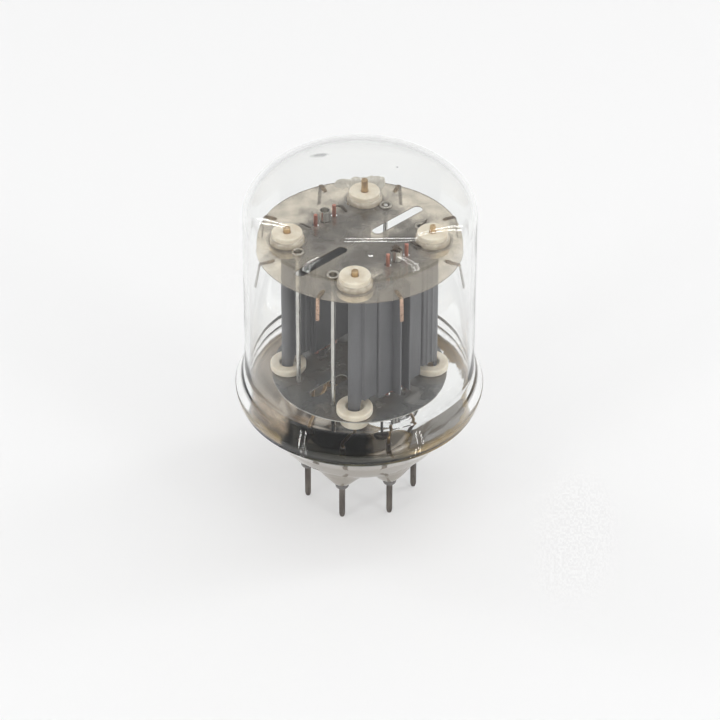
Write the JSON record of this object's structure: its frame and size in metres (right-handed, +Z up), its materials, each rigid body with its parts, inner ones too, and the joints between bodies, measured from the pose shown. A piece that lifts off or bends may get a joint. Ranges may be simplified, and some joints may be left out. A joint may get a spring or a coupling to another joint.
{
  "type": "vacuum tube",
  "caption": "Twin power vacuum tube: domed clear glass bulb on a glass pin base, ribbed anode boxes held in ceramic bushings between mica discs.",
  "frame": {"origin": "on the tube's axis, in the plane of the pin tips that it stands on", "axes": "+Z up the axis towards the dome, +X along the slots of the upper mica, +Y from one anode unit to the other"},
  "size_m": [0.057, 0.0566, 0.0885],
  "materials": {
    "glass": "clear, polished, silvered and browned inside the base",
    "mica": "translucent grey sheet, glossy",
    "ceramic": "cream, satin",
    "carbonised_nickel": "dark grey, matt",
    "nickel": "drawn, satin",
    "copper": "copper coloured, heat stained",
    "pin_metal": "tarnished dark grey",
    "browned_nickel": "golden brown heat stain",
    "heater_coating": "white, matt"
  },
  "bodies": {
    "root": {"glass_bulb": "glass", "glass_base": "glass", "base_pin_1": "pin_metal", "base_pin_2": "pin_metal", "base_pin_3": "pin_metal", "base_pin_4": "pin_metal", "base_pin_5": "pin_metal", "base_pin_6": "pin_metal", "base_pin_7": "pin_metal", "upper_mica": "mica", "lower_mica": "mica", "upper_bushing_1": "ceramic", "upper_bushing_2": "ceramic", "upper_bushing_3": "ceramic", "upper_bushing_4": "ceramic", "lower_bushing_1": "ceramic", "lower_bushing_2": "ceramic", "lower_bushing_3": "ceramic", "lower_bushing_4": "ceramic", "anode_1": "carbonised_nickel", "anode_2": "carbonised_nickel", "anode_post_1": "browned_nickel", "anode_post_2": "browned_nickel", "anode_post_3": "browned_nickel", "anode_post_4": "browned_nickel", "cathode_1": "nickel", "cathode_2": "nickel", "heater_1": "heater_coating", "heater_2": "heater_coating", "grid_rod_1": "copper", "grid_rod_2": "copper", "grid_rod_3": "copper", "grid_rod_4": "copper", "grid_winding_1": "copper", "grid_winding_2": "copper", "support_rod_1": "nickel", "support_rod_2": "nickel", "support_rod_3": "nickel", "support_rod_4": "nickel", "rod_eyelet_1": "nickel", "rod_eyelet_2": "nickel", "rod_eyelet_3": "nickel", "rod_eyelet_4": "nickel", "bulb_spring_1": "copper", "bulb_spring_2": "copper", "bulb_spring_3": "copper", "bulb_spring_4": "copper", "bulb_spring_5": "copper", "bulb_spring_6": "copper", "bulb_spring_7": "copper", "bulb_spring_8": "copper", "getter_1": "pin_metal", "getter_2": "pin_metal", "lead_1": "browned_nickel", "lead_2": "browned_nickel", "lead_3": "browned_nickel", "lead_4": "browned_nickel", "lead_5": "browned_nickel", "lead_6": "browned_nickel", "lead_7": "browned_nickel"}
  },
  "joints": []
}
